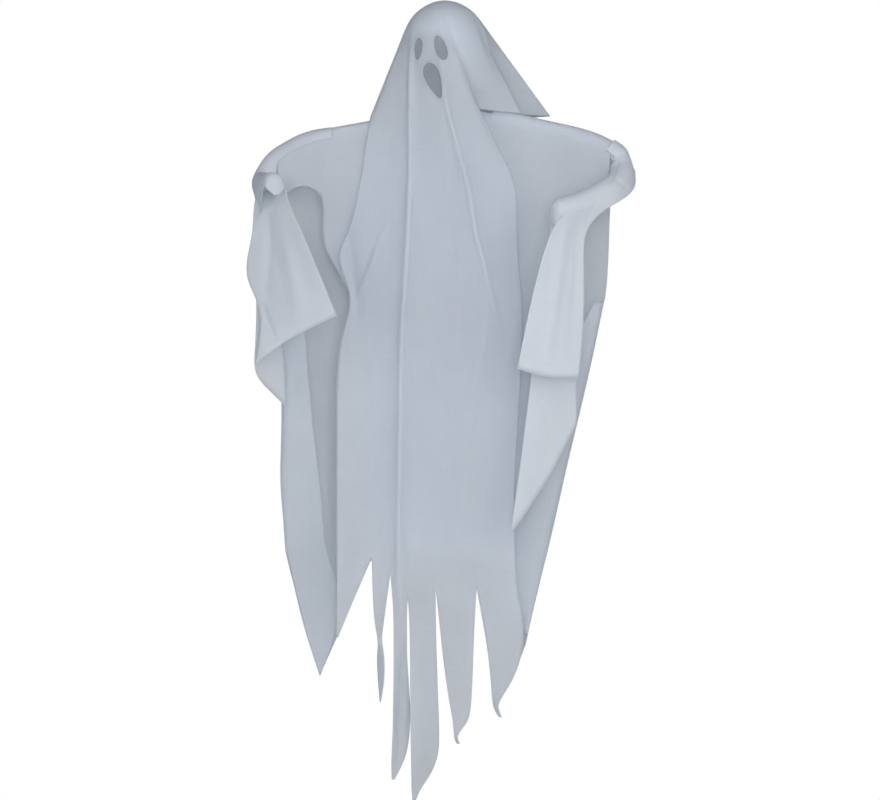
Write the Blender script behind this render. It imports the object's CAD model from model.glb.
"""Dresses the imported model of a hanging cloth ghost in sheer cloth, gauze, foam and wire.

Lengths in the tables are in millimetres from the hanging point on top of the head: +X is the
viewer's right, +Y the back and +Z up.
"""

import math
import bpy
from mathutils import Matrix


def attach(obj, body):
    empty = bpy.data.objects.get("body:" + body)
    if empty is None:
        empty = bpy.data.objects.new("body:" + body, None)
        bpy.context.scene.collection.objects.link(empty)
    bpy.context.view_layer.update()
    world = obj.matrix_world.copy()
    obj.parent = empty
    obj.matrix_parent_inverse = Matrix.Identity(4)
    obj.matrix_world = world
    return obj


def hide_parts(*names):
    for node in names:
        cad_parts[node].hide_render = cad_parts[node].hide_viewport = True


bl_info = {
    "name": "Hanging cloth ghost",
    "version": (1, 0, 0),
    "blender": (4, 5, 0),
    "location": "3D View > Sidebar > Ghost",
    "description": "Adds the ghost's cloth, face, head, arms and stage to its packed model",
    "category": "Object",
}

import bmesh
import bpy
import numpy as np
from mathutils import Vector, noise

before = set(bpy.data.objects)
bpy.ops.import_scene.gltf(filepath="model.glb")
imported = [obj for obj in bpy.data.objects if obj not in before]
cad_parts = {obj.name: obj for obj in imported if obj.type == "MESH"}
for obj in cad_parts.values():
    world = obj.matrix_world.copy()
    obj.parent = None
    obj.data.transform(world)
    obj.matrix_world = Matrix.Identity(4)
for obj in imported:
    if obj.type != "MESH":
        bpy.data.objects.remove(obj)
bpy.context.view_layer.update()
MM = 0.001

LEFT, RIGHT = -1, 1     # sides in the view from the front, as signs of X
SIDES = ((LEFT, "left"), (RIGHT, "right"))

# Cloth
CLOTH = 1.0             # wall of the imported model's sheets
SEAT = 0.3              # clearance between pieces that touch
SHEET_WALL = 0.5        # wall of a finished sheet, kept closed on both faces
GAUZE_WALL = 0.3
GAUZE_LAP = 3.0         # how far the gauze reaches past its opening
GAUZE_SPARE = 8.0       # how much farther it reaches before it is trimmed
FOLD_CREASE = 0.6       # sharpness of the pressed folds, 0 to 1
FOLD_FADE = 0.01        # share of a pressed fold's length that is left out at its ends
WELD = 0.01             # points of a cage that are closer than this are joined
SMOOTH_LEVELS = 3

# Head and neck
HEAD_RADIUS = 43.5
HEAD_TOP = -1.8         # height of the crown of the foam
HEAD_WAIST = -50.0      # height of the widest section
VEIL_STANDOFF = 5.0     # from the foam's waist to the middle of the cloth
CROWN_STANDOFF = 1.4    # the same, on top of the head
CROWN_TWIST = -12.0     # degrees that the folds turn towards the crown
CROWN_RUN = 0.013       # metres of cloth from the crown's first ring to its top

# Arms
WIRE_RADIUS = 1.5
PAD_RADIUS = 8.0
WIRE_SIDES, PAD_SIDES = 16, 32
ARM_STEPS = 6           # steps of the curve from one point of an arm to the next
PAD_START = 32.0        # from the post to the foam tube, along X
PAD_BORE = WIRE_RADIUS + 0.5
PAD_FORWARD = -5        # place along Y of the forearm, which the tube covers at any X
TIP_BARE = 7.0          # bare wire past the foam tube
ARM_HEIGHT = -130.0     # height of the wire at the neck
REACH = {LEFT: 207.0, RIGHT: 203.0}     # from the post to the elbow
DROP = {LEFT: 77.0, RIGHT: 68.0}
ELBOW_FORWARD = 4.0     # how far the wire comes forward before the elbow
ELBOW_FROM, ELBOW_SPAN = 0.9, 0.1       # where that begins and how long it is, in reaches

# Robe
NECK_HALF_DEPTH = 24.0
NECK_HEIGHT = -121.0
BACK_DEPTH = 22.0       # how far the back hangs behind the arms at the hem
CHEST_DEPTH = 16.0      # how far the chest panel hangs before the arms
RETURN_DEPTH = 3.0      # the same, for the edges folded forward
BACK_PLEAT = 4.5        # depth of the soft folds in the back
BACK_FOLDS = 4.5
BACK_PHASE = 0.8        # turn of the first soft fold from the left edge, in radians
BACK_RATE = 1.6         # how fast the back reaches its depth, over the way to the hem
SIDE_RATE = 4           # the same, for the line of its side edges
SIDE_FROM, SIDE_SPAN = 0.08, 0.14       # share of the way where the side edges come forward
ROBE_LOOSE = 0.3        # how much looser than its seat the robe lies on the tubes
WRAP_ANGLES = (-10, 40, 90, 140, 190)   # round the arm from its front, over its top
WRAP_SPREAD = 1.13      # what smoothing takes off the cloth's radius there
ELBOW_EASE = 1.5        # how much looser the robe lies where the arms curve down
EASE_FROM, EASE_RATE = 0.62, 6          # share of the reach where that begins, and how fast

# Shape of each upper arm: share of the reach, share of the drop
UPPER_ARM = {
    LEFT: [(0, 0), (0.04, 0), (0.08, 0), (0.25, 0.11), (0.41, 0.22), (0.55, 0.285),
           (0.73, 0.385), (0.835, 0.50), (0.91, 0.64), (0.965, 0.80)],
    RIGHT: [(0, 0), (0.04, 0), (0.08, 0), (0.3, 0.12), (0.55, 0.235), (0.72, 0.35),
            (0.87, 0.51), (0.95, 0.66), (0.985, 0.80)],
}
# Forearms from the elbow: across towards the body, forward, down
FOREARM = {
    LEFT: [(0, 12, 0), (-1, 32, 2), (5, 58, 4), (11, 78, 4), (16, 95, 4)],
    RIGHT: [(1, 14, 0), (8, 34, 14), (24, 46, 25), (44, 57, 34), (60, 65, 40), (76, 72, 45)],
}

# Veil: the columns of its front, from its left edge to its right edge. Two of them are folds.
VEIL_LEFT = [(-84, -138), (-89, -159), (-93, -191), (-99, -223), (-109, -264), (-123, -290),
             (-114, -318), (-102, -342), (-118, -372), (-123, -405), (-123, -640)]
VEIL_RIGHT = [(42, -121), (50, -150), (63, -175), (76, -198), (82, -220), (82, -274), (86, -323),
              (89, -360), (87, -428), (81, -507), (78, -582), (72, -622), (80, -670)]
LONG_FOLD = [(-40, -96), (-39, -143), (-39, -207), (-42, -280), (-49, -387), (-51, -507),
             (-53, -670)]
SHORT_FOLD = [(2, -118), (9, -152), (18, -184), (28, -223), (34, -266), (44, -300), (49, -339),
              (46, -387), (38, -435), (26, -507), (17, -569), (11, -672)]
LONG_FOLD_AT, SHORT_FOLD_AT = 4, 8      # their columns
# Each other column lies at a share of the way from one of those lines to the next
VEIL_SHARES = [(0, 0.0), (0, 0.3), (0, 0.57), (0, 0.87), (1, 0.0), (1, 0.17), (1, 0.42),
               (1, 0.66), (2, 0.0), (2, 0.36), (2, 0.68), (3, 0.0)]
# How far before the arms each column hangs: below the hood, at the chest and at the hem
VEIL_DEPTHS = [(17, 25, 22), (22, 28, 24), (27, 30, 26), (31, 31, 27), (40, 38, 33),
               (40, 33, 27), (46, 34, 27), (50, 35, 27), (53, 41, 29), (49, 34, 27),
               (44, 32, 26), (38, 27, 24)]
HOOD_HEM, VEIL_CHEST, VEIL_HEM = -128.0, -300.0, -640.0
NOTCH_HEIGHTS = [-637, -637, -634, -652, -668, -680, -676, -669, -672, -669, -668, -668]

# Hood: for each column its angle round the head from the front, the height where it leaves
# the head, and where it ends: across, back and up. The first twelve are the front's.
HOOD_COLUMNS = [
    (-80, -30, -84, -17, -134), (-72, -34, -70, -22, -131), (-65, -50, -57, -27, -129),
    (-59, -50, -46, -31, -128), (-53, -50, -39.5, -40, -128), (-46, -50, -31, -40, -128),
    (-34, -50, -20, -46, -128), (-22, -50, -6, -50, -128), (-10, -50, 3, -53, -128),
    (-2, -50, 14, -49, -127), (5, -50, 28, -44, -126), (13, -50, 42, -38, -124),
    (20, -50, 37, -22, -125), (38, -50, 60, -14, -127.5), (68, -50, 88, -7, -129.5),
    (80, -50, 81, 8, -129.5), (92, -32, 102, 20, -130.5), (100, -14, 121, 26, -131),
    (125, -32, 92, 42, -132), (150, -50, 48, 56, -133), (180, -50, 0, 58, -134),
    (-150, -50, -42, 50, -134), (-122, -38, -72, 26, -133), (-98, -30, -86, 4, -131),
]
REAR_FOLDS = (14, 17)
CROWN_ANGLES = (17, 38, 57, 74)     # rings round the crown, in degrees from the top
HOOD_LEVELS = (-55, -70, -85, -100, -114)       # rings below it

# Strips of the slashed hem: first and last column, then the height, left and right edge and
# how far before the arms they hang
STRIPS = [
    (0, 2, [(-664, -122.5, -96.3, 22, 25), (-700, -122.5, -111.4, 21, 23),
            (-724, -122.8, -121.4, 21, 22)]),
    (2, 3, [(-682, -82, -66, 27, 24), (-711, -79, -70, 29, 22), (-725, -75.3, -72, 28, 22),
            (-742, -77.5, -69, 22, 33), (-766, -77, -68.5, 21, 34), (-786, -75.5, -71, 22, 30),
            (-797, -74.5, -73, 24, 26)]),
    (3, 5, [(-690, -58.5, -43, 25, 28), (-735, -58, -43, 29, 22), (-776, -58, -41, 31, 17),
            (-806, -58.5, -39, 31, 15), (-830, -59, -39.5, 29, 16), (-856, -60.5, -43, 26, 20),
            (-872, -61, -50, 24, 22), (-885, -60.5, -57, 24, 24)]),
    (5, 7, [(-705, -40, -10.5, 26, 25), (-763, -39.5, -9, 27, 23), (-827, -39, -6.5, 28, 20),
            (-857, -38.5, -6.5, 28, 19), (-880, -38, -16, 26, 20), (-897, -38, -29, 25, 22),
            (-909, -37, -33, 24, 24)]),
    (7, 9, [(-705, -6.5, 33.5, 25, 26), (-742, -3, 32, 23, 27), (-780, 2, 31, 22, 27),
            (-808, 7, 29, 23, 27), (-820, 9, 26, 25, 26), (-831, 9.5, 16, 27, 25),
            (-838, 11, 14, 24, 28), (-844, 14, 17, 23, 30)]),
    (9, 11, [(-702, 42, 90, 26, 24), (-742, 49, 89, 24, 22), (-775, 52, 76, 23, 22),
             (-792, 53, 64, 22, 24), (-802, 54.5, 60, 21, 26), (-808, 57, 62, 23, 29),
             (-814, 61, 64.5, 27, 30)]),
]

# Face openings: centre across and up, half width, half height, tilt in degrees, and how much
# narrower the lower end is
LEFT_EYE = (-30.3, -58.2, 4.3, 12.6, -4.0, 0.2)
RIGHT_EYE = (-5.0, -57.5, 6.6, 14.6, 19.0, -0.1)
MOUTH = (-12.6, -94.8, 8.2, 21.5, 20.0, 0.45)
OUTLINE_POINTS = 48
CUTTER_FRONT, CUTTER_DEPTH = -75, 70    # prism that cuts an opening through the front only
FACE_DEPTH = -12.0      # how far back the front of the hood goes, for the gauze

# Robe: where each column starts, as a share of the arm's reach, and where it ends at the hem,
# across and up
ROBE_COLUMNS = [(-0.932, -183, -614), (-0.87, -175, -653), (-0.773, -160, -717),
                (-0.643, -142, -770), (-0.522, -128, -737), (-0.386, -110, -697),
                (-0.261, -90, -627), (-0.126, -62, -640), (0, -40, -642), (0.128, -15, -644),
                (0.266, 10, -646), (0.394, 30, -660), (0.512, 41, -694), (0.631, 49, -747),
                (0.739, 57, -808), (0.823, 68, -786), (0.887, 82, -762), (0.94, 95, -722)]
# How much higher the collar lies at each share of the left reach
COLLAR_RISE = [(0.0, 0.0), (6.5, -0.13), (6.0, -0.28), (3.0, -0.4), (0.0, -0.55)]
HEM_POINTS = (3, 14)    # the columns that end in the two big points
NECK_COLUMNS = (7, 8, 9)
# How far inside the elbows the robe's side edges hang, and the height
ROBE_SIDE = {
    LEFT: [(4, -216), (10, -296), (16, -387), (19, -463), (16, -546), (23, -614)],
    RIGHT: [(2, -205), (8, -247), (13, -280), (22, -355), (33, -419), (51, -482), (65, -547),
            (80, -614), (96, -678), (108, -722)],
}
# Inner edges of the cloth folded forward at the sides: across and up
RETURN_EDGE = {
    LEFT: [(-165, -300), (-159, -381), (-156, -421), (-150, -489), (-142, -546), (-136, -614)],
    RIGHT: [(173, -330), (168, -350), (148, -388), (122, -428), (97, -482), (85, -547),
            (75, -611), (70, -638), (79, -665), (87, -700), (90, -722)],
}
RETURN_FROM = {LEFT: 0.22, RIGHT: 0.31}     # share of the robe's side where it begins
RETURN_SLANT = 16.0         # how much lower the left one's inner corner hangs
RETURN_HEM_DEPTH = 12.0     # how far back it hangs at the hem, close before the back
RETURN_RISE = 120.0         # height over the hem where it starts to go back
RETURN_TURN, TURN_MOST = 7.0, 0.4       # width of the turned cloth, and its largest share
LAYER_GAP = 3.0             # from the back to the cloth before it
# Front layer over the left point: outer height, inner column, inner height
LEFT_POINT_FRONT = [(-645, -123, -655), (-686, -122, -694), (-728, -124.5, -725),
                    (-767, -141.8, -767)]
POINT_INSET = 1.0           # how far inside the back's edge it ends
POINT_SHARES = (0.0, 0.2, 0.6, 1.0)
FACING_FOOT = -233.0        # height of the front edge over the right upper arm
FACING_FOOT_DEPTH = 2.0     # how far it hangs before the arm beside the elbow
FACING_PULL = 3.0           # how far it is pulled towards the body there
CHEST_FIRST, CHEST_LAST = 3, 13
CHEST_BOW = 2.0             # how much farther forward the middle of the chest hangs
CHEST_ROWS = [-185, -203, -222, -248, -275, -293, -312, -338, -365, -427, -490, -563, -636]
SHORT_ROWS = 5              # rows of the panel over the right upper arm
CHEST_LEFT = [(-131, -156), (-132, -185), (-138, -223), (-140, -280), (-122, -307), (-106, -339),
              (-99, -364), (-94, -455), (-90, -637)]
CHEST_RIGHT = [(124, -160), (120, -250), (110, -320), (104, -420), (98, -470), (86, -520),
               (72, -637)]
FACING_DROP = 44.0          # length of the front edge over the left upper arm
FACING_DEPTH = 0.6          # its share of the way to the chest's depth
FACING_ROWS = 3
ROBE_ROWS = [0.04, 0.08, 0.15, 0.22, 0.31, 0.4, 0.51, 0.62, 0.73, 0.84, 0.92, 1.0]

# Sleeves: for each column from the forearm's tip, where the layer hangs: across from the elbow
# towards the body, forward and up
SLEEVE_NEAR = {
    LEFT: [[(31, 97, -228), (40, 97, -252), (53, 98, -281), (69, 99, -320), (86, 100, -361)],
           [(20, 80, -236), (25, 80, -265), (36, 84, -300), (47, 88, -336), (57, 91, -374)],
           [(6, 68, -228), (8, 66, -268), (13, 70, -310), (22, 76, -350), (25, 80, -391)],
           [(-10, 58, -223), (-7, 56, -266), (-24, 52, -316), (5, 62, -351), (-6, 71, -414)]],
    RIGHT: [[(84, 84, -262), (98, 84, -307), (111, 82, -364), (122, 80, -420)],
            [(74, 80, -262), (82, 80, -307), (92, 79, -368), (100, 77, -427)],
            [(62, 74, -262), (65, 75, -307), (72, 74, -370), (77, 72, -431)],
            [(49, 67, -262), (46, 68, -307), (47, 68, -370), (53, 66, -430)]],
}
SLEEVE_FAR = {
    LEFT: [[(1, 86, -226), (-4, 62, -244), (-4, 48, -280), (-5, 44, -318)],
           [(-5, 56, -230), (-4, 50, -250), (-5, 44, -305), (0, 44, -353)],
           [(-6, 48, -231), (-7, 45, -256), (-4, 42, -340), (-11, 42, -425)],
           [(-8, 32, -232), (-6, 31, -262), (24, 29, -372), (27, 27, -463)]],
    RIGHT: [[(87, 58, -275), (99, 54, -370), (113, 50, -490), (129, 46, -607)],
            [(77, 54, -275), (85, 51, -360), (95, 48, -466), (108, 45, -578)],
            [(65, 49, -275), (67, 48, -345), (73, 46, -436), (82, 44, -537)],
            [(53, 45, -275), (53, 45, -340), (56, 44, -410), (54, 43, -482)]],
}
# Stations of those columns, then of all sections over an arm: shares of the forearm from its tip
PANEL_STATIONS = {LEFT: [0.0, 0.3, 0.6, 0.85], RIGHT: [0.0, 0.14, 0.27, 0.4]}
STATIONS = {
    LEFT: [0.0, 0.15, 0.3, 0.45, 0.6, 0.72, 0.85, 1.0, 1.12, 1.24, 1.36, 1.5, 1.62, 1.73],
    RIGHT: [0.0, 0.07, 0.14, 0.2, 0.27, 0.33, 0.4, 0.47, 0.55, 0.7, 0.85, 0.97, 1.07, 1.16,
            1.25],
}
SLEEVE_OVERLAP = 1.0    # clearance of the sleeve round the robe's edge
SLEEVE_EASE_TO = 1.8    # station on the upper arm where a sleeve would lie close
SLEEVE_TAPER = 3.5      # how fast it gets there
SLEEVE_CLOSE, CLOSE_BY = 0.14, 0.75     # stations over which its upper end lies down, by a share
SAG, SAG_TO, SAG_POWER = 11.0, 1.07, 4  # how far the right sleeve sags, to a station, how evenly
# Cloth over a forearm's tip: forward, up, share of the sleeve's radius
TIP_CAP = [(9.0, -15.0, 0.1), (8.0, -10.0, 0.5), (5.0, -4.0, 0.86)]

# Columns and rows of the veil's front, a part of a column lying between two of the table
VEIL_COLUMNS = [0, 1, 2, 3, 3.6, 4, 4.35, 5, 6, 7, 7.75, 8, 8.3, 9, 10, 11]
VEIL_ROWS = [-160, -182, -205, -228, -250, -270, -290, -304, -318, -345, -385, -440, -510, -580]

# Folds and creases seen from the front: points across and up, half width and height
VEIL_FOLDS = [
    ([(-37, -41), (-40, -96), (-39, -143), (-39, -207), (-42, -280), (-49, -387), (-51, -507),
      (-54, -670)], 2.6, 2.6),
    ([(-5, -68), (1, -118), (9, -152), (18, -184), (28, -223), (34, -266), (44, -300), (53, -339),
      (62, -375)], 3.2, 2.4),
    ([(2, -19), (7, -41), (17, -64), (28, -96), (41, -121), (50, -150), (63, -175), (76, -198)],
     5.0, -2.4),
    ([(-66, -256), (-77, -284), (-90, -316), (-101, -340)], 2.4, 3.4),
    ([(-46, -735), (-49, -790), (-53, -868)], 3.5, -4.0),
    ([(-109, -262), (-105, -300), (-100, -342), (-98, -364)], 5.0, -3.0),
    ([(33, -12), (47, -48), (62, -83), (81, -111), (89, -124)], 4.5, -3.0),
]
ROBE_FOLDS = [([(-179, -603), (-164, -590)], 2.6, 2.2)]
SLEEVE_FOLDS = {
    LEFT: [([(-188, -232), (-178, -285), (-168, -335), (-160, -366)], 9.0, 3.2),
           ([(-206, -350), (-196, -372), (-189, -386)], 2.2, -2.2),
           ([(-197, -240), (-199, -300), (-203, -345)], 5.0, -2.2)],
    RIGHT: [([(137, -246), (129, -305), (120, -372), (114, -415)], 6.0, 2.4),
            ([(150, -250), (148, -320), (140, -400)], 4.0, -1.8),
            ([(112, -450), (128, -461), (144, -474)], 6.0, -2.6),
            ([(196, -185), (191, -202), (183, -213)], 2.4, -2.0),
            ([(190, -205), (207, -217)], 2.2, -2.0)],
}
# Places along Y between which those folds are pressed
VEIL_FRONT, VEIL_FRONT_OVER = -10, 8    # none behind the first, all of them that far before
SLEEVE_FRONT = -8
ROBE_EDGE_FRONT, ROBE_EDGE_BACK = -8, 2

# Points in front of each sheet, from which its outer face is seen. The sleeves' is mirrored.
VEIL_OUTSIDE, ROBE_OUTSIDE = Vector((0, -200, -80)), Vector((0, -200, -400))
SLEEVE_OUTSIDE = Vector((150, -300, -330))

# Unevenness: how deep, its length across and down the cloth, and where it starts in the noise
VEIL_WAVES = (1.5, 46, 190, 4.0)
ROBE_WAVES = (1.6, 60, 260, 9.0)
SLEEVE_WAVES = {LEFT: (1.2, 40, 120, 5.0), RIGHT: (1.2, 40, 120, 7.0)}
WAVE, FINE_WAVE = 1000, 2600            # mm in a metre, and the same for finer waves
FINE_SHARE = 0.4        # depth of the finer ones over the others'
DRAW_STRETCH, FINE_DRAW = 1.7, 3.1      # where each kind lies in the noise's third direction
# Height where cloth starts to hang free and be uneven, and over how many mm
VEIL_FREE, ROBE_FREE, SLEEVE_FREE = (-110, 60), (-165, 60), (-225, 40)
# Share of the waves in a sleeve's gathered part, and how far that part stands off the arm
GATHERED_SHARE, GATHERED_LIFT = 1.1, 0.9

CLOTH_BUMP, GAUZE_BUMP = 0.35, 0.5          # strength of the threads' relief
OPEN_VARIES = 0.03      # how much the open share varies along the threads
GAUZE_OPEN = 0.3        # share of light that goes through the gauze
GAUZE_COARSER = 1.3     # its thread pitch over the cloth's
SLEEVE_DENSER = {LEFT: 0.07, RIGHT: 0.13}   # how much less light the sleeves let through

# Linear colours of each finish, which vary from the first to the second
CLOTH_DARK, CLOTH_LIGHT = (0.86, 0.89, 0.93), (0.88, 0.91, 0.95)
GAUZE_DARK, GAUZE_LIGHT = (0.30, 0.325, 0.385), (0.385, 0.415, 0.475)
FOAM_COLOURS = (0.74, 0.76, 0.79), (0.66, 0.68, 0.71)
PLASTIC_COLOURS = (0.74, 0.75, 0.76), (0.80, 0.81, 0.82)
STEEL_COLOURS = (0.34, 0.34, 0.35), (0.52, 0.53, 0.55)
FLOOR_COLOURS = (0.86, 0.86, 0.86), (0.89, 0.89, 0.89)
AMBIENT_COLOUR, WHITE = (0.93, 0.96, 1.0, 1.0), (1.0, 1.0, 1.0, 1.0)

# Studio: place, width and height, and power of each soft light, in metres and watts
LIGHTS = [("key", (0.4, -3.0, 1.9), (2.6, 2.6), 43.0),
          ("left", (-3.4, -2.8, 0.5), (3.0, 3.0), 52.0),
          ("right", (3.4, -2.8, 0.5), (3.0, 3.0), 52.0),
          ("front", (0.2, -5.0, -0.2), (2.6, 2.0), 85.0),
          ("back", (0.0, 4.2, 0.3), (3.0, 3.0), 14.0)]
LIGHTS_AIM = (0.0, 0.0, -0.42)
FLOOR_SIDES = 96
SENSOR_WIDTH = 36.0
IMAGE_WIDTH, IMAGE_HEIGHT = 880, 800
HANG_COLUMN = 445       # column of the picture that the hanging point is in
PIXEL = 910.0 / 800     # mm of the object in a pixel


def lerp(a, b, t):
    return a + (b - a) * t


def at(table, z):
    """The value at height z in a table of (value, height) that runs downwards."""
    for (v0, z0), (v1, z1) in zip(table, table[1:]):
        if z >= z1:
            return lerp(v0, v1, max(0.0, (z - z0) / (z1 - z0)))
    return table[-1][0]


def smooth_line(points, steps):
    """A Catmull-Rom curve through the points, with so many steps from each to the next."""
    ends = [2 * points[0] - points[1]] + points + [2 * points[-1] - points[-2]]
    line = []
    for a, b, c, d in zip(ends, ends[1:], ends[2:], ends[3:]):
        for k in range(steps):
            t = k / steps
            line.append(0.5 * (2 * b + (c - a) * t + (2 * a - 5 * b + 4 * c - d) * t ** 2
                               + (3 * b - a - 3 * c + d) * t ** 3))
    return line + [points[-1]]


def arm_line(side):
    """The curve of one arm wire, from the post to the tip."""
    reach, drop = REACH[side], DROP[side]
    points = [Vector((side * reach * a, -ELBOW_FORWARD * max(0.0, (a - ELBOW_FROM) / ELBOW_SPAN),
                      ARM_HEIGHT - drop * b)) for a, b in UPPER_ARM[side]]
    points += [Vector((side * (reach - x), -y, ARM_HEIGHT - drop - z))
               for x, y, z in FOREARM[side]]
    return smooth_line(points, ARM_STEPS)


def point_on_arm(side, x):
    """Where the upper arm's wire is at this distance from the post, and its direction."""
    line = arm_line(side)
    for a, b in zip(line, line[1:]):
        if abs(b.x) >= abs(x) and abs(b.x) > abs(a.x):
            return a.lerp(b, (abs(x) - abs(a.x)) / (abs(b.x) - abs(a.x))), (b - a).normalized()
    return line[-1], (line[-1] - line[-2]).normalized()


def section_axes(tangent):
    """Over an arm, and square to that: a left arm's front or a forearm's nearer side."""
    over = (Vector((0, 0, 1)) - tangent * tangent.z).normalized()
    return over, over.cross(tangent)


def new_cage():
    bm = bmesh.new()
    bm.edges.layers.float.new("crease_edge")
    bm.loops.layers.uv.new("weave")
    return bm


def spans(lines):
    """Mean running lengths along several lines of points with equal counts, in metres."""
    runs = [np.cumsum([0.0] + [(b - a).length for a, b in zip(line, line[1:])]) for line in lines]
    return np.mean(runs, axis=0) * MM


def add_patch(bm, rows, closed=False, folds=(), skip=(), start=(0.0, 0.0)):
    """Faces between rows of points. The weave map runs across and down from start, in metres."""
    crease = bm.edges.layers.float["crease_edge"]
    weave = bm.loops.layers.uv["weave"]
    grid = [[bm.verts.new(p * MM) for p in row] for row in rows]
    count = len(rows[0])
    wide = [list(row) + ([row[0]] if closed else []) for row in rows]
    across = spans(wide) + start[0]
    down = spans(list(zip(*rows))) + start[1]
    for r in range(len(rows) - 1):
        for c in range(count if closed else count - 1):
            d = (c + 1) % count
            if (r, c) in skip:
                continue
            face = bm.faces.new((grid[r][c], grid[r][d], grid[r + 1][d], grid[r + 1][c]))
            for loop, u, v in zip(face.loops, (c, c + 1, c + 1, c), (r, r, r + 1, r + 1)):
                loop[weave].uv = (across[u], down[v])
        for c in folds:
            edge = bm.edges.get((grid[r][c], grid[r + 1][c]))
            if edge:
                edge[crease] = FOLD_CREASE
    return across, down


def smooth_cage(name, bm, outside, corners=()):
    """Welds a cage, turns its faces towards the point outside and returns it smoothed.

    corners are the points where the hem keeps a sharp corner.
    """
    bmesh.ops.remove_doubles(bm, verts=bm.verts, dist=WELD * MM)
    sharp = bm.verts.layers.float.new("crease_vert")
    for corner in corners:
        min(bm.verts, key=lambda v: (v.co - corner * MM).length)[sharp] = 1.0
    loose = [v for v in bm.verts if not v.link_faces]
    bmesh.ops.delete(bm, geom=loose, context="VERTS")
    bmesh.ops.recalc_face_normals(bm, faces=bm.faces)
    seen = outside * MM
    nearest = min(bm.faces, key=lambda f: (f.calc_center_median() - seen).length)
    if nearest.normal.dot(seen - nearest.calc_center_median()) < 0:
        bmesh.ops.reverse_faces(bm, faces=bm.faces)
    mesh = bpy.data.meshes.new(name + "_cage")
    bm.to_mesh(mesh)
    bm.free()
    cage = new_object(name + "_cage", mesh)
    smooth = cage.modifiers.new("Smooth", "SUBSURF")
    smooth.levels = smooth.render_levels = SMOOTH_LEVELS
    smooth.boundary_smooth = "PRESERVE_CORNERS"
    return bake(cage, name)


def new_object(name, data):
    made = bpy.data.objects.new(name, data)
    bpy.context.scene.collection.objects.link(made)
    return made


def bake(source, name):
    """The mesh that an object's modifiers make. The object is removed."""
    bpy.context.view_layer.update()
    depsgraph = bpy.context.evaluated_depsgraph_get()
    mesh = bpy.data.meshes.new_from_object(source.evaluated_get(depsgraph))
    mesh.name = name
    bpy.data.objects.remove(source)
    return mesh


def read(mesh):
    """Places and normals of a mesh's points, in mm, and their weave coordinates, in metres."""
    count = len(mesh.vertices)
    places = np.empty(count * 3)
    mesh.vertices.foreach_get("co", places)
    normals = np.empty(count * 3)
    mesh.vertices.foreach_get("normal", normals)
    corners = np.empty(len(mesh.loops), dtype=np.int32)
    mesh.loops.foreach_get("vertex_index", corners)
    flat = np.empty(len(mesh.loops) * 2)
    mesh.uv_layers["weave"].data.foreach_get("uv", flat)
    weave = np.zeros((count, 2))
    weave[corners] = flat.reshape(-1, 2)
    return places.reshape(-1, 3) / MM, normals.reshape(-1, 3), weave


def write(mesh, places):
    mesh.vertices.foreach_set("co", (places * MM).ravel())
    mesh.update()


def distance(x, z, line):
    """Distance in the view from the front to a line of points, and the share along it."""
    best = np.full(len(x), np.inf)
    share = np.zeros(len(x))
    count = len(line) - 1
    for k, ((x0, z0), (x1, z1)) in enumerate(zip(line, line[1:])):
        dx, dz = x1 - x0, z1 - z0
        t = np.clip(((x - x0) * dx + (z - z0) * dz) / (dx * dx + dz * dz), 0, 1)
        away = np.hypot(x - x0 - t * dx, z - z0 - t * dz)
        near = away < best
        best[near] = away[near]
        share[near] = (k + t[near]) / count
    return best, share


def press_folds(places, normals, folds, chosen):
    """Raises or sinks the chosen points along each fold line, tapering towards its ends."""
    moved = places.copy()
    for line, width, height in folds:
        away, share = distance(places[:, 0], places[:, 2], line)
        fade = np.sqrt(np.sin(math.pi * np.clip(share, FOLD_FADE, 1 - FOLD_FADE)))
        lift = height * fade * np.exp(-(away / width) ** 2) * chosen
        moved += normals * lift[:, None]
    return moved


def waves(weave, depth, across, down, seed):
    """How much each point is lifted: long waves down the cloth, short ones across it."""
    lift = [noise.noise(Vector((u * WAVE / across + seed, v * WAVE / down, seed * DRAW_STRETCH)))
            + FINE_SHARE * noise.noise(Vector((u * FINE_WAVE / across, v * FINE_WAVE / down + seed,
                                               FINE_DRAW)))
            for u, v in weave]
    return depth * np.array(lift)


def free(places, begins, over):
    """How freely each point hangs: 0 where the cloth begins to hang, 1 farther down."""
    return np.clip((begins - places[:, 2]) / over, 0.0, 1.0)


def dress(mesh, material):
    mesh.shade_smooth()
    mesh.materials.clear()
    mesh.materials.append(material)


def walled(name, mesh, wall, offset=0.0):
    """The mesh with a wall, half of it on each side unless offset says otherwise."""
    sheet = new_object(name + "_open", mesh)
    thick = sheet.modifiers.new("Wall", "SOLIDIFY")
    thick.thickness = wall * MM
    thick.offset = offset
    return bake(sheet, name)


def put_in_place(name, mesh, slot, *cad_nodes):
    """The finished piece in the CAD nodes' place."""
    piece = new_object(name, mesh)
    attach(piece, "root")
    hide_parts(*cad_nodes)
    return piece


def crown_height():
    return HEAD_TOP + CROWN_STANDOFF


def head_reach(z):
    """Radius of the veil's middle round the head at height z."""
    share = max(0.0, (z - HEAD_WAIST) / (crown_height() - HEAD_WAIST))
    return (HEAD_RADIUS + VEIL_STANDOFF) * math.sqrt(1.0 - min(1.0, share) ** 2)


def face_outline(opening, grow=0.0):
    x, z, half_width, half_height, tilt, taper = opening
    lean = math.radians(tilt)
    points = []
    for k in range(OUTLINE_POINTS):
        turn = 2 * math.pi * k / OUTLINE_POINTS
        up = (half_height + grow) * math.cos(turn)
        across = (half_width + grow) * math.sin(turn) * (1 + taper * math.cos(turn))
        points.append((x + across * math.cos(lean) - up * math.sin(lean),
                       z + across * math.sin(lean) + up * math.cos(lean)))
    return points


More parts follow.
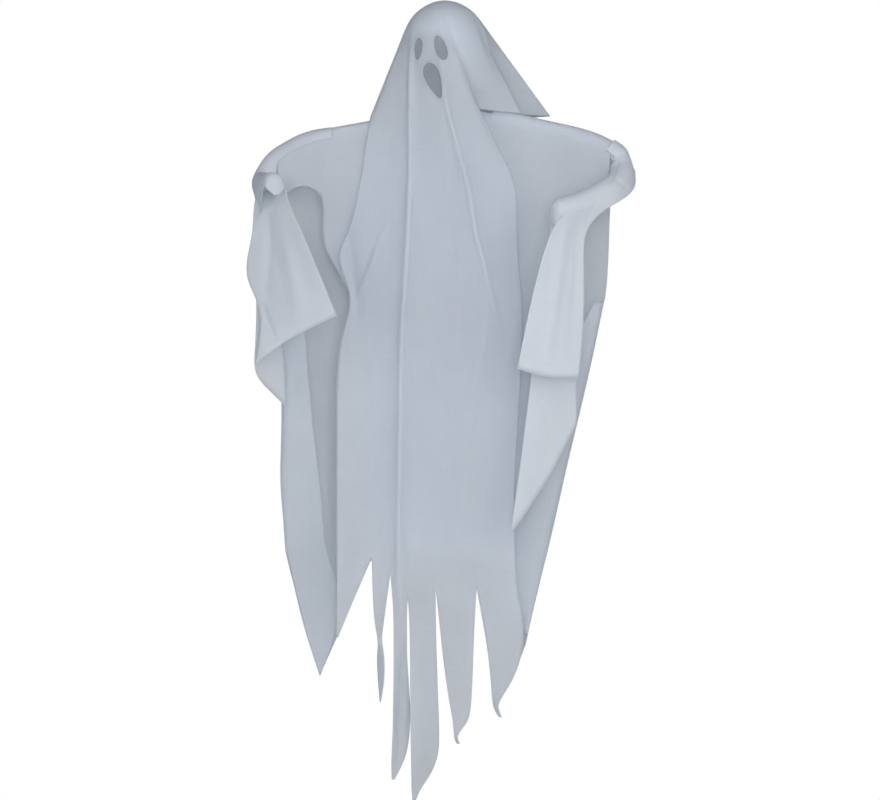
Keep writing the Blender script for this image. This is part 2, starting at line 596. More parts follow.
def wrap(centre, over, first, radius):
    """Points of the cloth over an arm, from its first side across its top."""
    out = radius * WRAP_SPREAD
    turns = [math.radians(a) for a in WRAP_ANGLES]
    return [centre + first * out * math.cos(t) + over * out * math.sin(t) for t in turns]


def robe_radius():
    return PAD_RADIUS + SEAT + CLOTH / 2 + ROBE_LOOSE


def robe_ring(index):
    """One column's points over the arm from its front to its back, or beside the neck."""
    share = ROBE_COLUMNS[index][0]
    side = LEFT if share < 0 else RIGHT
    x = share * REACH[side]
    if index in NECK_COLUMNS:
        return [Vector((x, y, NECK_HEIGHT)) for y in (-NECK_HALF_DEPTH, NECK_HALF_DEPTH)]
    centre, tangent = point_on_arm(side, x)
    centre.z += at(COLLAR_RISE, -share)
    over, square = section_axes(tangent)
    ease = ELBOW_EASE * min(1.0, max(0.0, (abs(share) - EASE_FROM) * EASE_RATE))
    return wrap(centre, over, -side * square, robe_radius() + ease)


def back_point(index, share, start):
    """A point of the back at this share of the way from the arm to the hem."""
    x_end, z_end = ROBE_COLUMNS[index][1:]
    z = lerp(start.z, z_end, share)
    x = lerp(start.x, x_end, share)
    across = index / (len(ROBE_COLUMNS) - 1)
    for side, weight, column in ((LEFT, 1 - across, 0), (RIGHT, across, -1)):
        plain = lerp(ROBE_COLUMNS[column][0] * REACH[side], ROBE_COLUMNS[column][1], share)
        edge = side * (REACH[side] - at(ROBE_SIDE[side], z))
        x += weight ** 2 * (edge - plain) * min(1, SIDE_RATE * share)
    wave = math.sin(2 * math.pi * BACK_FOLDS * across + BACK_PHASE)
    y = lerp(start.y, BACK_DEPTH, min(1.0, BACK_RATE * share)) + BACK_PLEAT * wave * share
    return Vector((x, y, z))


def sleeve_section(side, station):
    """The points over the forearm, from its near side to its far side."""
    line = arm_line(side)
    place = len(line) - 1 - station * ARM_STEPS * len(FOREARM[side])
    index = min(max(int(place), 1), len(line) - 2)
    centre = line[index].lerp(line[index + 1], max(0.0, place - index))
    over, near = section_axes((line[index + 1] - line[index - 1]).normalized())
    ease = ELBOW_EASE * min(1.0, SLEEVE_TAPER * (SLEEVE_EASE_TO - station))
    close = max(0.0, 1.0 - (STATIONS[side][-1] - station) / SLEEVE_CLOSE)
    clearance = (CLOTH + SLEEVE_OVERLAP) * (1.0 - CLOSE_BY * close)
    return wrap(centre, over, near, robe_radius() + ease + clearance)


def between(low, table):
    """A row of a table at a fraction between two of its rows."""
    first = int(low)
    if first == low:
        return table[first]
    return tuple(lerp(a, b, low - first) for a, b in zip(table[first], table[first + 1]))


def front_point(index, z):
    lines = (VEIL_LEFT, LONG_FOLD, SHORT_FOLD, VEIL_RIGHT)
    first, share = VEIL_SHARES[index]
    x = at(lines[first], z)
    if share:
        x = lerp(x, at(lines[first + 1], z), share)
    hood, chest, hem = VEIL_DEPTHS[index]
    depth = at([(hood, HOOD_HEM), (chest, VEIL_CHEST), (hem, VEIL_HEM)], z)
    return Vector((x, -depth, z))


def veil_point(column, z):
    first = int(column)
    point = front_point(first, z)
    return point if first == column else point.lerp(front_point(first + 1, z), column - first)


def hood_point(column, z):
    angle, leaves, x, y, end = column
    held = max(z, leaves)
    turn = math.radians(angle + CROWN_TWIST * (1.0 - min(1.0, held / HEAD_WAIST)))
    on_head = Vector((math.sin(turn), -math.cos(turn), 0)) * head_reach(held)
    on_head.z = held
    if z >= leaves:
        return on_head
    return on_head.lerp(Vector((x, y, end)), (z - leaves) / (end - leaves))


def veil_surface():
    """The long sheet over the head, down to its slashed hem."""
    bm = new_cage()
    up = crown_height() - HEAD_WAIST
    levels = [HEAD_WAIST + up * math.cos(math.radians(a)) for a in CROWN_ANGLES]
    front_count = len(VEIL_COLUMNS)
    rear_first = len(VEIL_SHARES)
    columns = [between(f, HOOD_COLUMNS) for f in VEIL_COLUMNS] + HOOD_COLUMNS[rear_first:]
    hood = [[hood_point(c, z) for c in columns] for z in (*levels, *HOOD_LEVELS)]
    hood.append([Vector(c[2:]) for c in columns])
    folds = [VEIL_COLUMNS.index(LONG_FOLD_AT), VEIL_COLUMNS.index(SHORT_FOLD_AT)]
    rear = [front_count + f - rear_first for f in REAR_FOLDS]
    across, down = add_patch(bm, hood, closed=True, folds=folds + rear)
    top = Vector((0, 0, crown_height()))
    weave = bm.loops.layers.uv["weave"]
    ring = hood[0] + hood[0][:1]
    for k, (a, b) in enumerate(zip(ring, ring[1:])):
        face = bm.faces.new([bm.verts.new(p * MM) for p in (top, a, b)])
        middle = (across[k] + across[k + 1]) / 2
        corners = ((middle, -CROWN_RUN), (across[k], 0.0), (across[k + 1], 0.0))
        for loop, corner in zip(face.loops, corners):
            loop[weave].uv = corner

    front = [hood[-1][:front_count]]
    front += [[veil_point(f, z) for f in VEIL_COLUMNS] for z in VEIL_ROWS]
    notches = [veil_point(f, between(f, [(z,) for z in NOTCH_HEIGHTS])[0]) for f in VEIL_COLUMNS]
    start = (float(across[0]), float(down[-1]))
    across, down = add_patch(bm, front + [notches], folds=folds, start=start)
    for first, last, rows in STRIPS:
        held = [k for k, f in enumerate(VEIL_COLUMNS) if first <= f <= last]
        shares = [(VEIL_COLUMNS[k] - first) / (last - first) for k in held]
        strip = [[notches[k] for k in held]]
        for z, left, right, left_depth, right_depth in rows:
            strip.append([Vector((lerp(left, right, s), -lerp(left_depth, right_depth, s), z))
                          for s in shares])
        add_patch(bm, strip, start=(float(across[held[0]]), float(down[-1])))
    corners = [notches[VEIL_COLUMNS.index(first)] for first, _, _ in STRIPS[1:]]
    return smooth_cage("veil", bm, VEIL_OUTSIDE, corners=corners)


def shaped_veil():
    mesh = veil_surface()
    places, normals, weave = read(mesh)
    front = np.clip((VEIL_FRONT - places[:, 1]) / VEIL_FRONT_OVER, 0, 1)
    places = press_folds(places, normals, VEIL_FOLDS, front)
    lift = waves(weave, *VEIL_WAVES) * free(places, *VEIL_FREE)
    write(mesh, places + normals * lift[:, None])
    return mesh


def face_prism(opening, grow=0.0):
    """A prism through the front of the hood only."""
    bm = bmesh.new()
    face = bm.faces.new([bm.verts.new(Vector((x, CUTTER_FRONT, z)) * MM)
                         for x, z in face_outline(opening, grow)])
    sides = bmesh.ops.extrude_face_region(bm, geom=[face])["geom"]
    moved = [v for v in sides if isinstance(v, bmesh.types.BMVert)]
    bmesh.ops.translate(bm, verts=moved, vec=Vector((0, CUTTER_DEPTH, 0)) * MM)
    bmesh.ops.recalc_face_normals(bm, faces=bm.faces)
    mesh = bpy.data.meshes.new("prism")
    bm.to_mesh(mesh)
    bm.free()
    return new_object("prism", mesh)


def trimmed(source, name, opening, operation, grow=0.0):
    """The source cut by, or to, the prism of one face opening."""
    prism = face_prism(opening, grow)
    cut = source.modifiers.new("Opening", "BOOLEAN")
    cut.operation = operation
    cut.solver = "EXACT"
    cut.object = prism
    mesh = bake(source, name)
    bpy.data.objects.remove(prism)
    return mesh


def gauze_behind(mesh, name, opening, material):
    """Gauze that follows the inside of the hood behind one opening."""
    bm = bmesh.new()
    bm.from_mesh(mesh)
    bm.normal_update()
    x, z, _, half_height = opening[:4]
    reach = half_height + GAUZE_LAP + GAUZE_SPARE
    middles = {f: f.calc_center_median() / MM for f in bm.faces}
    away = [f for f, at_face in middles.items() if at_face.y > FACE_DEPTH
            or abs(at_face.z - z) > reach or abs(at_face.x - x) > reach]
    inward = {v: -v.normal.copy() for v in bm.verts}
    bmesh.ops.delete(bm, geom=away, context="FACES")
    for v in bm.verts:
        v.co += inward[v] * (SHEET_WALL / 2 + SEAT + GAUZE_WALL / 2) * MM
    patch = bpy.data.meshes.new(name)
    bm.to_mesh(patch)
    bm.free()
    solid = new_object(name + "_solid", walled(name, patch, GAUZE_WALL))
    cut = trimmed(solid, name, opening, "INTERSECT", GAUZE_LAP)
    dress(cut, material)
    return put_in_place("gauze_" + name, cut, "grey_gauze", name)


def add_veil():
    mesh = shaped_veil()
    cloth, gauze = sheer_cloth(), grey_gauze()
    openings = (("eye_left", LEFT_EYE), ("eye_right", RIGHT_EYE), ("mouth", MOUTH))
    patches = [gauze_behind(mesh, name, opening, gauze) for name, opening in openings]
    dress(mesh, cloth)
    cut = walled("cloth_veil", mesh, SHEET_WALL)
    for name, opening in openings:
        cut = trimmed(new_object("veil_before_" + name, cut), "cloth_veil", opening, "DIFFERENCE")
    veil = put_in_place("cloth_veil", cut, "sheer_cloth", "veil")


def robe_back(rings):
    """Rows of the back from the arms to the hem. Its side edges come forward."""
    rows = [[back_point(i, share, ring[-1]) for i, ring in enumerate(rings)]
            for share in ROBE_ROWS]
    middle = (BACK_DEPTH - RETURN_DEPTH) / 2
    for share, row in zip(ROBE_ROWS, rows):
        held = min(1.0, max(0.0, (share - SIDE_FROM) / SIDE_SPAN))
        for edge in (row[0], row[-1]):
            edge.y = lerp(edge.y, middle, held)
    return [[ring[-1] for ring in rings]] + rows


def chest_rows(tops):
    """Rows of the chest panel from the arms' front. It is short over the right upper arm."""
    wide = CHEST_LAST - CHEST_FIRST
    rows = [tops]
    for k, z in enumerate(CHEST_ROWS, 1):
        step = min(1.0, k / SHORT_ROWS)
        row = []
        for i, top in enumerate(tops):
            if i <= wide:
                x = lerp(at(CHEST_LEFT, z), at(CHEST_RIGHT, z), i / wide)
                y = -CHEST_DEPTH - CHEST_BOW * math.sin(math.pi * i / wide)
                row.append(Vector((x, y, z)))
            else:
                past = (i - wide) / (len(tops) - 1 - wide)
                depth = lerp(CHEST_DEPTH, FACING_FOOT_DEPTH, past)
                row.append(Vector((top.x - FACING_PULL * past * step, lerp(top.y, -depth, step),
                                   lerp(top.z, FACING_FOOT, step))))
        rows.append(row)
    return rows


def facing_rows(tops, chest):
    """Rows of the front edge over the left upper arm, which joins the chest panel."""
    rows = [tops]
    for k in range(1, FACING_ROWS + 1):
        part = k / FACING_ROWS
        row = [Vector((p.x, lerp(p.y, -CHEST_DEPTH, FACING_DEPTH * part),
                       p.z - FACING_DROP * part)) for p in tops]
        rows.append(row[:-1] + [chest[k][0]])
    return rows


def return_rows(side, back):
    """Rows of the cloth that is folded forward at one side, from the edge of the back."""
    column = 0 if side == LEFT else -1
    hem = back[-1][column]
    rows = []
    for share, row in zip(ROBE_ROWS, back[1:]):
        if share < RETURN_FROM[side]:
            continue
        edge = row[column]
        low = max(0.0, 1.0 - (edge.z - hem.z) / RETURN_RISE)
        inner = Vector((at(RETURN_EDGE[side], edge.z), lerp(-RETURN_DEPTH, RETURN_HEM_DEPTH, low),
                        edge.z))
        if share == 1.0 and side == LEFT:
            inner.z -= RETURN_SLANT
        turn = edge.lerp(inner, min(TURN_MOST, RETURN_TURN / abs(inner.x - edge.x)))
        turn.y = lerp(-RETURN_DEPTH, edge.y - LAYER_GAP, low)
        rows.append([edge, turn, turn.lerp(inner, 0.5), inner])
    return rows


def left_point_rows(back):
    """Rows that carry the left folded edge on, down to the left point."""
    rim = back[-1][:HEM_POINTS[0] + 1]
    outer, depths = [(p.x, p.z) for p in rim], [(p.y, p.z) for p in rim]
    rows = []
    for z, x, low in LEFT_POINT_FRONT:
        edge = Vector((at(outer, z) + POINT_INSET, at(depths, z) - LAYER_GAP, z))
        rows.append([edge.lerp(Vector((x, edge.y, low)), share) for share in POINT_SHARES])
    return rows


def robe_surface():
    """The poncho over both arms, with its chest panel, back and folded edges."""
    rings = [robe_ring(i) for i in range(len(ROBE_COLUMNS))]
    back = robe_back(rings)
    bm = new_cage()
    add_patch(bm, back)
    for part in (rings[:NECK_COLUMNS[0]], rings[NECK_COLUMNS[-1] + 1:]):
        add_patch(bm, list(zip(*part)))

    tops = [ring[0] for ring in rings]
    chest = chest_rows(tops[CHEST_FIRST:])
    add_patch(bm, facing_rows(tops[:CHEST_FIRST + 1], chest))
    short = {(r, c) for r in range(SHORT_ROWS, len(CHEST_ROWS))
             for c in range(CHEST_LAST - CHEST_FIRST, len(tops) - CHEST_FIRST - 1)}
    add_patch(bm, chest, skip=short)

    add_patch(bm, return_rows(LEFT, back) + left_point_rows(back))
    add_patch(bm, return_rows(RIGHT, back))
    corners = [back[-1][i] for i in HEM_POINTS]
    return smooth_cage("robe", bm, ROBE_OUTSIDE, corners=corners)


def add_robe():
    mesh = robe_surface()
    places, normals, weave = read(mesh)
    hanging = free(places, *ROBE_FREE)
    depth = places[:, 1]
    edges = ((depth < ROBE_EDGE_BACK) & (depth > ROBE_EDGE_FRONT)) * hanging
    places = press_folds(places, normals, ROBE_FOLDS, edges)
    write(mesh, places + normals * (waves(weave, *ROBE_WAVES) * hanging)[:, None])
    dress(mesh, sheer_cloth())
    robe = put_in_place("cloth_robe", walled("cloth_robe", mesh, SHEET_WALL), "sheer_cloth", "robe")


def cap_sections(side):
    """The cloth gathered over the tip of a forearm, from its middle outwards."""
    line = arm_line(side)
    tangent = (line[-1] - line[-2]).normalized()
    over, near = section_axes(tangent)
    radius = robe_radius() + ELBOW_EASE + CLOTH + SLEEVE_OVERLAP
    return [wrap(line[-1] + tangent * forward + over * up, over, near, radius * share)
            for forward, up, share in TIP_CAP]


def sagging_rows(stations, sections, seam, held):
    """The right sleeve's cloth under the rest of the arm, from the seam with its near layer."""
    past = [k for k, s in enumerate(stations) if held <= s <= SAG_TO]
    first, last = stations[past[0]], stations[past[-1]]
    low = [seam]
    for k in past[1:]:
        drop = SAG * (1.0 - ((stations[k] - first) / (last - first)) ** SAG_POWER)
        low.append(sections[k][0] - Vector((0, 0, drop)))
    return [[sections[k][0] for k in past], low]


def sleeve_surface(name, side):
    """A sheet gathered over a forearm's tip, with a nearer and a farther hanging layer."""
    stations, held = STATIONS[side], PANEL_STATIONS[side]
    sections = [sleeve_section(side, s) for s in stations]
    elbow = side * REACH[side]
    places = [np.interp(s, held, range(len(held))) for s in stations if s <= held[-1]]
    bm = new_cage()
    add_patch(bm, list(zip(*(cap_sections(side) + sections))))
    for layer, edge in ((SLEEVE_NEAR[side], 0), (SLEEVE_FAR[side], -1)):
        rows = [[s[edge] for s in sections[:len(places)]]]
        for k in range(len(layer[0])):
            points = [Vector((elbow - side * column[k][0], -column[k][1], column[k][2]))
                      for column in layer]
            rows.append([Vector(between(f, points)) for f in places])
        add_patch(bm, rows)
        if side == RIGHT and edge == 0:
            add_patch(bm, sagging_rows(stations, sections, rows[1][-1], held[-1]))
    return smooth_cage(name, bm, SLEEVE_OUTSIDE * Vector((side, 1, 1)))


def add_sleeve(side, word):
    name = "sleeve_" + word
    mesh = sleeve_surface(name, side)
    places, normals, weave = read(mesh)
    gathered = 1.0 - free(places, *SLEEVE_FREE)
    front = (places[:, 1] < SLEEVE_FRONT) * 1.0
    places = press_folds(places, normals, SLEEVE_FOLDS[side], front)
    share = 1.0 - gathered + GATHERED_SHARE * gathered
    lift = waves(weave, *SLEEVE_WAVES[side]) * share + GATHERED_LIFT * gathered
    write(mesh, places + normals * lift[:, None])
    dress(mesh, sleeve_cloth(name, SLEEVE_DENSER[side]))
    sleeve = put_in_place("cloth_" + name, walled("cloth_" + name, mesh, SHEET_WALL),
                          "sheer_cloth", name)


def tube_tree():
    """Geometry nodes: a round tube of a radius and a number of sides along a path."""
    tree = bpy.data.node_groups.new("tube_along_path", "GeometryNodeTree")
    for name, kind in (("Path", "Geometry"), ("Radius", "Float"), ("Sides", "Int"),
                       ("Closed Ends", "Bool"), ("Material", "Material")):
        tree.interface.new_socket(name, in_out="INPUT", socket_type="NodeSocket" + kind)
    tree.interface.new_socket("Tube", in_out="OUTPUT", socket_type="NodeSocketGeometry")
    into, ring, sweep, whole, finish, out = (tree.nodes.new(kind) for kind in (
        "NodeGroupInput", "GeometryNodeCurvePrimitiveCircle", "GeometryNodeCurveToMesh",
        "GeometryNodeRealizeInstances", "GeometryNodeSetMaterial", "NodeGroupOutput"))
    for source, end, target, socket in (
            (into, "Sides", ring, "Resolution"), (into, "Radius", ring, "Radius"),
            (into, "Path", sweep, "Curve"), (ring, "Curve", sweep, "Profile Curve"),
            (into, "Closed Ends", sweep, "Fill Caps"), (sweep, "Mesh", whole, "Geometry"),
            (whole, "Geometry", finish, "Geometry"), (into, "Material", finish, "Material"),
            (finish, "Geometry", out, "Tube")):
        tree.links.new(source.outputs[end], target.inputs[socket])
    return tree


def tube_mesh(name, points, radius, sides, closed, material, tree):
    """The surface of a round tube along the points, made by the geometry nodes."""
    curve = bpy.data.curves.new(name, "CURVE")
    curve.dimensions = "3D"
    spline = curve.splines.new("POLY")
    spline.points.add(len(points) - 1)
    for point, place in zip(spline.points, points):
        point.co = (*(place * MM), 1.0)
    guide = new_object(name + "_path", curve)
    sweep = guide.modifiers.new("Tube", "NODES")
    sweep.node_group = tree
    values = {"Radius": radius * MM, "Sides": sides, "Closed Ends": closed, "Material": material}
    for item in tree.interface.items_tree:
        if item.name in values:
            sweep[item.identifier] = values[item.name]
    return bake(guide, name)


def add_head_and_arms():
    tree = tube_tree()
    foam, steel, plastic = white_foam(), steel_wire(), white_plastic()
    for node, material in (("head_form", foam), ("neck_post", plastic)):
        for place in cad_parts[node].material_slots:
            place.material = material
    lines = {side: arm_line(side) for side, _ in SIDES}
    wire = tube_mesh("wire_arms", lines[LEFT][::-1] + lines[RIGHT][1:], WIRE_RADIUS, WIRE_SIDES,
                     True, steel, tree)
    dress(wire, steel)
    put_in_place("wire_arms", wire, "steel_wire", "arm_wire")
    for side, word in SIDES:
        line = lines[side]
        padded = [p for p in line if abs(p.x) >= PAD_START or p.y < PAD_FORWARD]
        while (padded[-1] - line[-1]).length < TIP_BARE:
            padded.pop()
        pad = tube_mesh("foam_" + word, padded, PAD_RADIUS, PAD_SIDES, False, foam, tree)
        pad = walled("foam_" + word, pad, PAD_RADIUS - PAD_BORE, -1.0)
        dress(pad, foam)
        put_in_place("foam_" + word, pad, "white_foam", "arm_padding_" + word)


class Graph:
    """A material's or a world's node tree, with short calls to add nodes and join them."""

    def __init__(self, owner):
        owner.use_nodes = True
        self.owner = owner
        self.tree = owner.node_tree
        self.shader = self.tree.nodes.get("Principled BSDF")
        self.out = self.tree.nodes.get("Material Output")

    def fill(self, node, **inputs):
        """Gives inputs a value or a socket, by name or, after an underscore, by number."""
        for key, value in inputs.items():
            number = key[1:]
            socket = node.inputs[int(number) if number.isdigit() else key.replace("_", " ")]
            if isinstance(value, bpy.types.NodeSocket):
                self.tree.links.new(value, socket)
            else:
                socket.default_value = value
        return node

    def add(self, kind, settings=None, **inputs):
        node = self.tree.nodes.new(kind)
        for key, value in (settings or {}).items():
            setattr(node, key, value)
        return self.fill(node, **inputs)


def weave_height(graph, pitch):
    """Crossed threads of the weave map, and slubs that run along them.

    At a scale of 1 the bands of the wave texture are pi / 10 apart.
    """
    weave = graph.add("ShaderNodeUVMap", {"uv_map": "weave"}).outputs["UV"]
    threads = []
    for direction in ("X", "Y"):
        wave = graph.add("ShaderNodeTexWave", {"wave_type": "BANDS", "bands_direction": direction},
                         Vector=weave, Scale=math.pi / 10 / pitch, Distortion=0.35, Detail=1.0,
                         Detail_Scale=2.0)
        threads.append(wave.outputs["Fac"])
    crossed = graph.add("ShaderNodeMath", {"operation": "MAXIMUM"}, _0=threads[0], _1=threads[1])
    slubs = []
    for stretch in ((900.0, 28.0, 1.0), (28.0, 900.0, 1.0)):
        placed = graph.add("ShaderNodeMapping", Vector=weave, Scale=stretch)
        cloud = graph.add("ShaderNodeTexNoise", Vector=placed.outputs["Vector"], Scale=1.0,
                          Detail=2.0, Roughness=0.6)
        slubs.append(cloud.outputs["Fac"])
    uneven = graph.add("ShaderNodeMath", {"operation": "ADD"}, _0=slubs[0], _1=slubs[1])
    return crossed.outputs[0], uneven.outputs[0]


def clouds(graph, scale, detail=4.0):
    place = graph.add("ShaderNodeTexCoord").outputs["Object"]
    return graph.add("ShaderNodeTexNoise", Vector=place, Scale=scale, Detail=detail,
                     Roughness=0.55).outputs["Fac"]


def tinted(graph, factor, low, high, dark, light):
    """A colour between dark and light as the factor goes from low to high."""
    ramp = graph.add("ShaderNodeMapRange", Value=factor, From_Min=low, From_Max=high)
    return graph.add("ShaderNodeMix", {"data_type": "RGBA"}, _0=ramp.outputs[0],
                     _6=(*dark, 1.0), _7=(*light, 1.0)).outputs[2]


def relief(graph, height, strength, depth, **settings):
    """The normal of small bumps of this depth, in metres."""
    return graph.add("ShaderNodeBump", settings, Height=height, Strength=strength,
                     Distance=depth).outputs["Normal"]


def cloth_like(graph, dark, light, pitch, open_share, bump):
    """Thin woven cloth that lets light through and scatters it on both sides."""
    crossed, slubs = weave_height(graph, pitch)
    colour = tinted(graph, clouds(graph, 7.0), 0.36, 0.64, dark, light)
    thread = graph.add("ShaderNodeMapRange", Value=slubs, From_Min=0.75, From_Max=1.25,
                       To_Min=0.965, To_Max=1.0).outputs[0]
    grey = graph.add("ShaderNodeCombineColor", _0=thread, _1=thread, _2=thread)
    shaded = graph.add("ShaderNodeMix", {"data_type": "RGBA", "blend_type": "MULTIPLY"}, _0=1.0,
                       _6=colour, _7=grey.outputs[0]).outputs[2]
    height = graph.add("ShaderNodeMath", {"operation": "MULTIPLY_ADD"}, _0=slubs, _1=0.6,
                       _2=crossed)
    normal = relief(graph, height.outputs[0], bump, 0.00012)
    graph.fill(graph.shader, Base_Color=shaded, Normal=normal, Roughness=0.85,
               Specular_IOR_Level=0.25, Sheen_Weight=0.06, Sheen_Roughness=0.5)
    through = graph.add("ShaderNodeBsdfTranslucent", Color=shaded, Normal=normal)
    gaps = graph.add("ShaderNodeMapRange", Value=slubs, From_Min=0.7, From_Max=1.3,
                     To_Min=open_share + OPEN_VARIES, To_Max=open_share - OPEN_VARIES)
    mix = graph.add("ShaderNodeMixShader", _0=gaps.outputs[0], _1=graph.shader.outputs[0],
                    _2=through.outputs[0])
    graph.fill(graph.out, Surface=mix.outputs[0])


def look(name, build, *values):
    """The material of this name, built on its first use."""
    found = bpy.data.materials.get(name)
    if found:
        return found
    graph = Graph(bpy.data.materials.new(name))
    build(graph, *values)
    return graph.owner


def sheer_cloth():
    own = bpy.context.scene.ghost_cloth
    return look("sheer_cloth_look", cloth_like, own.cloth_dark, own.cloth_light,
                own.thread_pitch, own.open_share, CLOTH_BUMP)


def sleeve_cloth(name, denser):
    own = bpy.context.scene.ghost_cloth
    return look(name + "_look", cloth_like, own.cloth_dark, own.cloth_light,
                own.thread_pitch, own.open_share - denser, CLOTH_BUMP)


def grey_gauze():
    own = bpy.context.scene.ghost_cloth
    return look("grey_gauze_look", cloth_like, own.gauze_dark, own.gauze_light,
                GAUZE_COARSER * own.thread_pitch, GAUZE_OPEN, GAUZE_BUMP)


def white_foam():
    def build(graph):
        place = graph.add("ShaderNodeTexCoord").outputs["Object"]
        beads = graph.add("ShaderNodeTexVoronoi", {"feature": "SMOOTH_F1"}, Vector=place,
                          Scale=330.0).outputs["Distance"]
        graph.fill(graph.shader, Base_Color=tinted(graph, beads, 0.0, 0.8, *FOAM_COLOURS),
                   Normal=relief(graph, beads, 0.4, 0.0004, invert=True), Roughness=0.8)
    return look("white_foam_look", build)


def white_plastic():
    def build(graph):
        colour = tinted(graph, clouds(graph, 60.0), 0.35, 0.65, *PLASTIC_COLOURS)
        normal = relief(graph, clouds(graph, 900.0, 2.0), 0.12, 0.0002)
        graph.fill(graph.shader, Base_Color=colour, Normal=normal, Roughness=0.45)
    return look("white_plastic_look", build)


def steel_wire():
    def build(graph):
        colour = tinted(graph, clouds(graph, 120.0), 0.4, 0.7, *STEEL_COLOURS)
        rough = graph.add("ShaderNodeMapRange", Value=clouds(graph, 400.0, 2.0), To_Min=0.28,
                          To_Max=0.5)
        graph.fill(graph.shader, Base_Color=colour, Roughness=rough.outputs[0], Metallic=1.0)
    return look("steel_wire_look", build)


def floor_finish():
    def build(graph):
        colour = tinted(graph, clouds(graph, 2.0), 0.3, 0.7, *FLOOR_COLOURS)
        graph.fill(graph.shader, Base_Color=colour, Roughness=0.9)
    return look("pale_floor_look", build)


def white_world(ambient):
    """White where the camera looks, and a dim even light for everything else."""
    world = bpy.data.worlds.new("studio")
    graph = Graph(world)
    graph.tree.nodes.clear()
    ray = graph.add("ShaderNodeLightPath").outputs
    clear = graph.add("ShaderNodeMath", {"operation": "SUBTRACT", "use_clamp": True},
                      _0=ray["Is Transmission Ray"], _1=ray["Is Diffuse Ray"])
    shiny = graph.add("ShaderNodeMath", {"operation": "MAXIMUM"}, _0=ray["Is Glossy Ray"],
                      _1=clear.outputs[0])
    seen = graph.add("ShaderNodeMath", {"operation": "MAXIMUM"}, _0=ray["Is Camera Ray"],
                     _1=shiny.outputs[0])
    dim = graph.add("ShaderNodeBackground", Color=AMBIENT_COLOUR, Strength=ambient)
    white = graph.add("ShaderNodeBackground", Color=WHITE, Strength=1.0)
    mix = graph.add("ShaderNodeMixShader", _0=seen.outputs[0], _1=dim.outputs[0],
                    _2=white.outputs[0])
    graph.add("ShaderNodeOutputWorld", Surface=mix.outputs[0])
    bpy.context.scene.world = world


def add_light(name, place, size, watts):
    data = bpy.data.lights.new(name, "AREA")
    data.shape = "RECTANGLE"
    data.size, data.size_y = size
    data.energy = watts
    data.color = WHITE[:3]
    lamp = new_object(name, data)
    lamp.location = place
    lamp.rotation_euler = (Vector(LIGHTS_AIM) - Vector(place)).to_track_quat("-Z", "Y").to_euler()


def add_stage():
    own = bpy.context.scene.ghost_stage
    bm = bmesh.new()
    bmesh.ops.create_circle(bm, cap_ends=True, segments=FLOOR_SIDES,
                            radius=own.floor_radius)
    mesh = bpy.data.meshes.new("floor")
    bm.to_mesh(mesh)
    bm.free()
    mesh.materials.append(floor_finish())
    floor = new_object("floor", mesh)
    floor.location.z = -own.floor_depth

    for name, place, size, watts in LIGHTS:
        add_light(name, place, size, watts * own.light)
    white_world(own.ambient)

    data = bpy.data.cameras.new("camera")
    data.sensor_width = SENSOR_WIDTH
    data.lens = SENSOR_WIDTH * own.camera_distance / (IMAGE_WIDTH * PIXEL * MM)
    camera = new_object("camera", data)
    camera.location = ((IMAGE_WIDTH / 2 - HANG_COLUMN) * PIXEL * MM, -own.camera_distance,
                       -IMAGE_HEIGHT / 2 * PIXEL * MM)
    camera.rotation_euler = (math.pi / 2, 0.0, 0.0)
    bpy.context.scene.camera = camera
    bpy.context.scene.view_settings.view_transform = "Standard"


def colour_property(name, description, default):
    return bpy.props.FloatVectorProperty(
        name=name, description=description, default=default, min=0.0, max=1.0, subtype="COLOR")


class GhostCloth(bpy.types.PropertyGroup):
    thread_pitch: bpy.props.FloatProperty(
        name="Thread Pitch", description="Distance from one thread to the next",
        default=0.0007, min=0.0002, subtype="DISTANCE", unit="LENGTH")
    open_share: bpy.props.FloatProperty(
        name="Open Share", description="How much of the scattered light goes through a face",
        default=0.70, min=0.0, max=1.0, subtype="FACTOR")
    cloth_dark: colour_property("Cloth Dark", "Darker white of the cloth", CLOTH_DARK)
    cloth_light: colour_property("Cloth Light", "Lighter white of the cloth", CLOTH_LIGHT)
    gauze_dark: colour_property("Gauze Dark", "Darker grey of the gauze", GAUZE_DARK)
    gauze_light: colour_property("Gauze Light", "Lighter grey of the gauze", GAUZE_LIGHT)


class GhostStage(bpy.types.PropertyGroup):
    floor_radius: bpy.props.FloatProperty(
        name="Floor Radius", description="Radius of the round floor", default=4.0, min=1.0,
        subtype="DISTANCE", unit="LENGTH")
    floor_depth: bpy.props.FloatProperty(
        name="Floor Depth", description="Height of the hanging point over the floor",
        default=1.6, min=0.95, subtype="DISTANCE", unit="LENGTH")
    camera_distance: bpy.props.FloatProperty(
        name="Camera Distance", description="Distance of the camera before the ghost",
        default=6.0, min=1.0, subtype="DISTANCE", unit="LENGTH")
    light: bpy.props.FloatProperty(
        name="Light", description="Share of the studio lights' power", default=1.0, min=0.0,
        subtype="FACTOR")
    ambient: bpy.props.FloatProperty(
        name="Ambient", description="Strength of the dim even light", default=0.095, min=0.0,
        subtype="FACTOR")


class GHOST_OT_add_head_and_arms(bpy.types.Operator):
    """Add the foam head's finish, the arm wire and its foam tubes"""
    bl_idname = "ghost.add_head_and_arms"
    bl_label = "Add Head and Arms"

    def execute(self, context):
        add_head_and_arms()
        return {"FINISHED"}


class GHOST_OT_add_robe(bpy.types.Operator):
    """Add the robe over the arms"""
    bl_idname = "ghost.add_robe"
    bl_label = "Add Robe"

    def execute(self, context):
        add_robe()
        return {"FINISHED"}


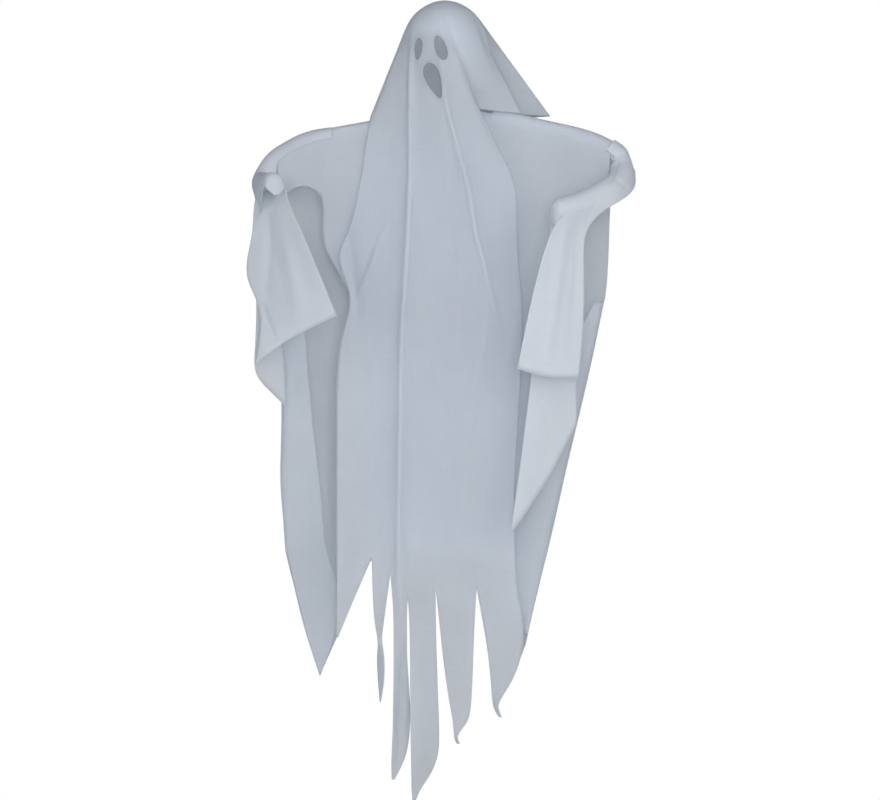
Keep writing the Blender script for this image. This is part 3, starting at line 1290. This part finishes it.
class GHOST_OT_add_sleeves(bpy.types.Operator):
    """Add both sleeves over the forearms"""
    bl_idname = "ghost.add_sleeves"
    bl_label = "Add Sleeves"

    def execute(self, context):
        for side, word in SIDES:
            add_sleeve(side, word)
        return {"FINISHED"}


class GHOST_OT_add_veil(bpy.types.Operator):
    """Add the veil with its face openings and the gauze behind them"""
    bl_idname = "ghost.add_veil"
    bl_label = "Add Veil and Face"

    def execute(self, context):
        add_veil()
        return {"FINISHED"}


class GHOST_OT_add_stage(bpy.types.Operator):
    """Add the floor, the lights, the white surround and the camera"""
    bl_idname = "ghost.add_stage"
    bl_label = "Add Stage"

    def execute(self, context):
        add_stage()
        return {"FINISHED"}


class GHOST_PT_panel(bpy.types.Panel):
    bl_label = "Hanging Cloth Ghost"
    bl_idname = "GHOST_PT_panel"
    bl_space_type = "VIEW_3D"
    bl_region_type = "UI"
    bl_category = "Ghost"

    def draw(self, context):
        layout = self.layout
        for owner in (context.scene.ghost_cloth, context.scene.ghost_stage):
            box = layout.box()
            for key in owner.bl_rna.properties.keys():
                if key not in {"rna_type", "name"}:
                    box.prop(owner, key)
        for operator in OPERATORS:
            layout.operator(operator.bl_idname)


GROUPS = (GhostCloth, GhostStage)
OPERATORS = (GHOST_OT_add_stage, GHOST_OT_add_head_and_arms, GHOST_OT_add_robe,
             GHOST_OT_add_sleeves, GHOST_OT_add_veil)
CLASSES = (*GROUPS, *OPERATORS, GHOST_PT_panel)


def register():
    for made in CLASSES:
        bpy.utils.register_class(made)
    bpy.types.Scene.ghost_cloth = bpy.props.PointerProperty(type=GhostCloth)
    bpy.types.Scene.ghost_stage = bpy.props.PointerProperty(type=GhostStage)


def unregister():
    del bpy.types.Scene.ghost_stage
    del bpy.types.Scene.ghost_cloth
    for made in reversed(CLASSES):
        bpy.utils.unregister_class(made)


def main():
    register()
    bpy.ops.ghost.add_stage()
    bpy.ops.ghost.add_head_and_arms()
    bpy.ops.ghost.add_robe()
    bpy.ops.ghost.add_sleeves()
    bpy.ops.ghost.add_veil()


if __name__ == "__main__":
    main()
